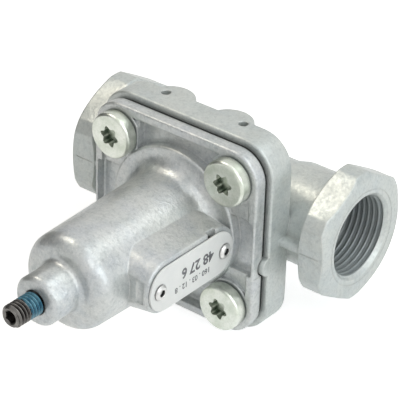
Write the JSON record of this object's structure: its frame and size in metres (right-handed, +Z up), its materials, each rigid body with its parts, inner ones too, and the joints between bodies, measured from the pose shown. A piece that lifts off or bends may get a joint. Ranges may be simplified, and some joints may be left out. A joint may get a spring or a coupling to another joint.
{
  "type": "overflow valve",
  "caption": "Diaphragm overflow valve: in-line body with hexagon ported ends, square joint flange, round spring bonnet with a side plate, and an adjusting screw.",
  "frame": {"origin": "middle of the port axis, halfway between the two port faces", "axes": "+X along the ports towards the outlet, -Y along the bonnet towards the adjusting screw, +Z up towards the flat top with the two small holes"},
  "size_m": [0.08, 0.0982, 0.0528],
  "materials": {
    "cast_body": "as cast, matt to satin",
    "cast_bonnet": "as cast, matt to satin",
    "screw_zinc": "bright zinc with a faint yellow-green tint",
    "plate_metal": "pale brushed",
    "rivet_metal": "smooth",
    "dark_steel": "black oxide, oiled",
    "patch_blue": "dry thread lock film",
    "spring_steel": "drawn wire",
    "piston_metal": "turned",
    "guide_plastic": "moulded",
    "spring_plate_steel": "zinc plated",
    "black_rubber": "moulded",
    "cage_brass": "pressed"
  },
  "bodies": {
    "housing": {"body_casting": "cast_body", "bonnet_casting": "cast_bonnet", "diaphragm": "black_rubber", "flange_screw_1": "screw_zinc", "flange_screw_2": "screw_zinc", "flange_screw_3": "screw_zinc", "flange_screw_4": "screw_zinc", "nameplate": "plate_metal", "nameplate_rivet_1": "rivet_metal", "nameplate_rivet_2": "rivet_metal", "adjusting_spring": "spring_steel", "check_valve_spring": "spring_steel", "check_valve_cage": "cage_brass"},
    "piston_group": {"piston": "piston_metal", "piston_guide_ring": "guide_plastic"},
    "spring_seat": {"spring_plate": "spring_plate_steel"},
    "adjuster": {"adjusting_screw": "dark_steel", "thread_lock_patch": "patch_blue"},
    "check_plate": {"check_valve_plate": "black_rubber"}
  },
  "joints": [
    {"name": "piston_lift", "type": "slide", "parent": "housing", "child": "piston_group", "axis": [0, -1, 0], "range_m": [0, 0.0012], "stiffness_N_per_m": 500, "springref_m": -0.01, "deforming": ["diaphragm", "adjusting_spring"]},
    {"name": "spring_seat_travel", "type": "slide", "parent": "housing", "child": "spring_seat", "axis": [0, 1, 0], "range_m": [-0.002, 0.002], "deforming": ["adjusting_spring"]},
    {"name": "adjusting_screw_turn", "type": "hinge", "parent": "spring_seat", "child": "adjuster", "pos_m": [0, -0.078, 0.0006], "axis": [0, 1, 0], "range_deg": [-720, 720]},
    {"name": "check_plate_lift", "type": "slide", "parent": "housing", "child": "check_plate", "axis": [0, -1, 0], "range_m": [0, 0.0012], "stiffness_N_per_m": 20, "springref_m": -0.005, "deforming": ["check_valve_spring"]}
  ],
  "couplings": [
    {"joint": "adjusting_screw_turn", "follows": "spring_seat_travel", "rad_per_m": 6283.2}
  ]
}
